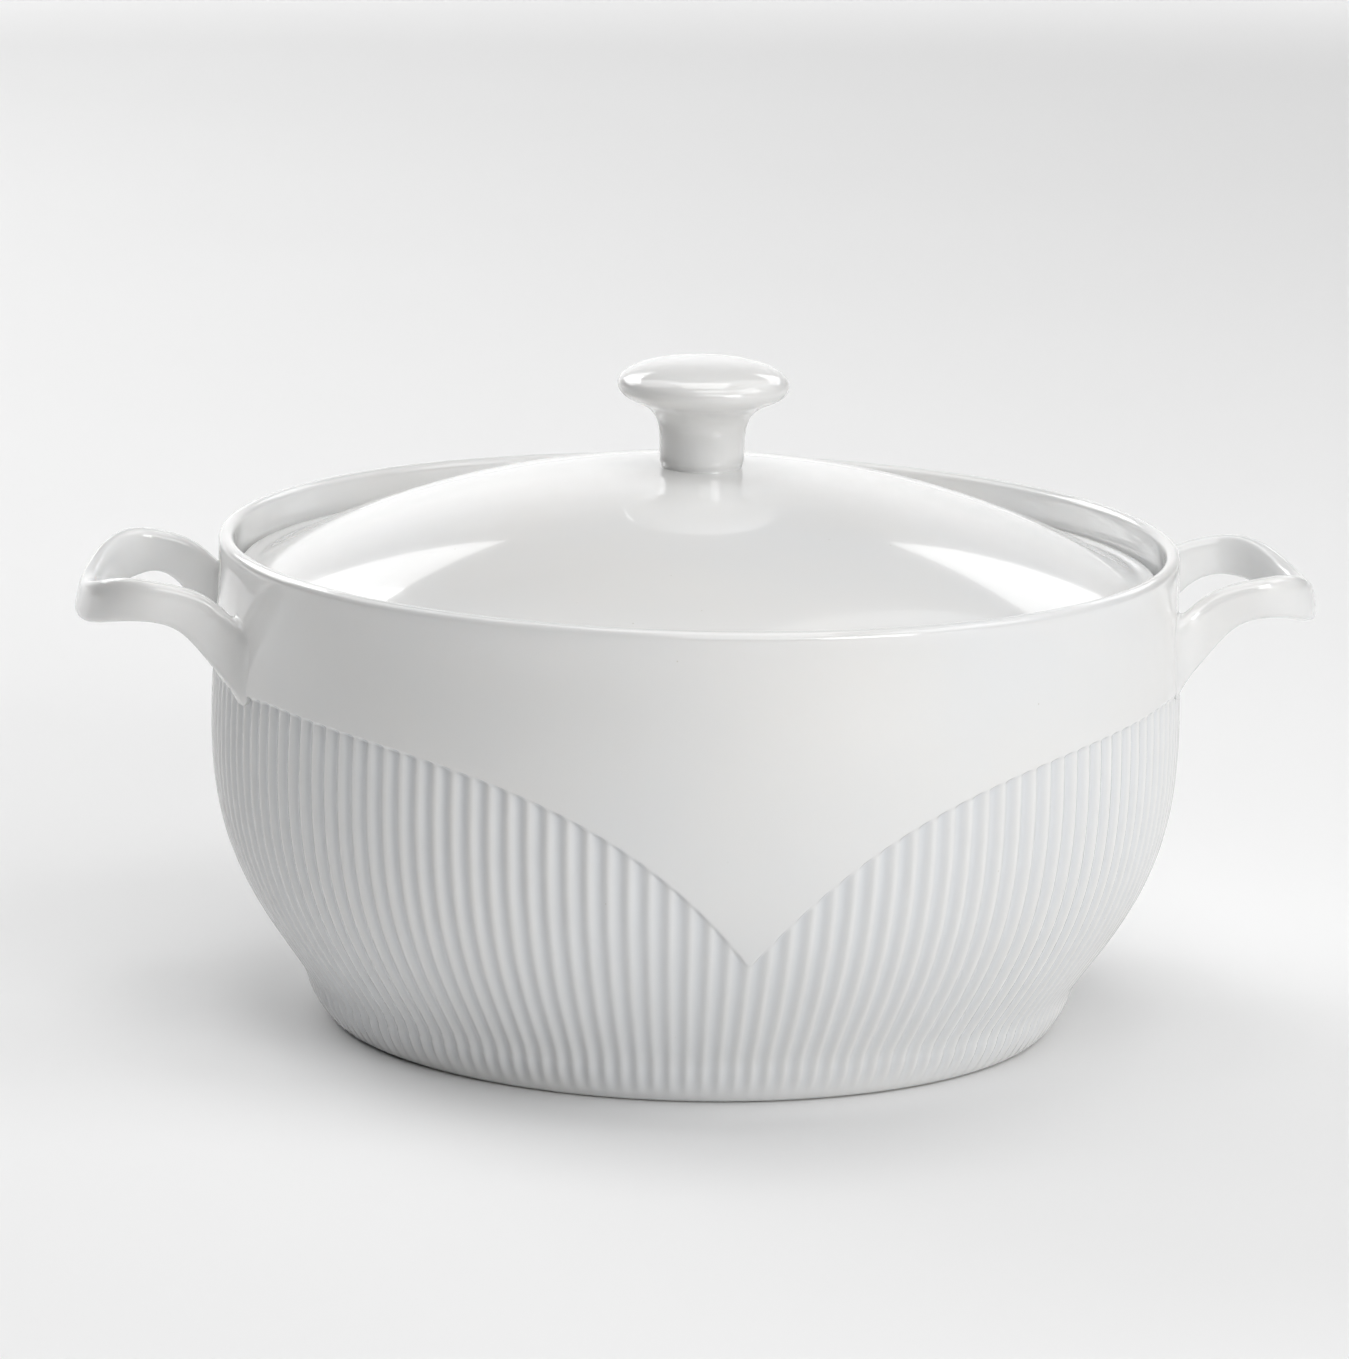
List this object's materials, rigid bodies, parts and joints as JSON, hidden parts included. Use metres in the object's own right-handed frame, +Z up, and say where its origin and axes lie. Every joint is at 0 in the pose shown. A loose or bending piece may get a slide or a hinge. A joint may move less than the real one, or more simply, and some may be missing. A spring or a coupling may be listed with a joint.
{
  "type": "covered casserole dish",
  "caption": "White porcelain covered casserole dish: fluted bowl with a smooth pointed collar, ribbon-loop side handles and a domed lift-off lid with a mushroom knob.",
  "frame": {"origin": "centre of the foot ring on the plane the dish stands on", "axes": "+Z up, out of the bowl; X through the two handles; -Y is one of the two like faces, with the collar's point at its middle"},
  "size_m": [0.332, 0.259, 0.1773],
  "materials": {
    "white_glaze_body": "clear high-gloss glaze over white porcelain, foot ring wiped bare",
    "white_glaze_handles": "clear high-gloss glaze over white porcelain",
    "white_glaze_lid": "clear high-gloss glaze over white porcelain"
  },
  "bodies": {
    "bowl": {"bowl": "white_glaze_body", "handle_left": "white_glaze_handles", "handle_right": "white_glaze_handles"},
    "lid": {"lid": "white_glaze_lid", "lid_knob": "white_glaze_lid"}
  },
  "joints": [
    {"name": "lid_lift", "type": "slide", "parent": "bowl", "child": "lid", "axis": [0, 0, 1], "range_m": [0, 0.12]}
  ]
}
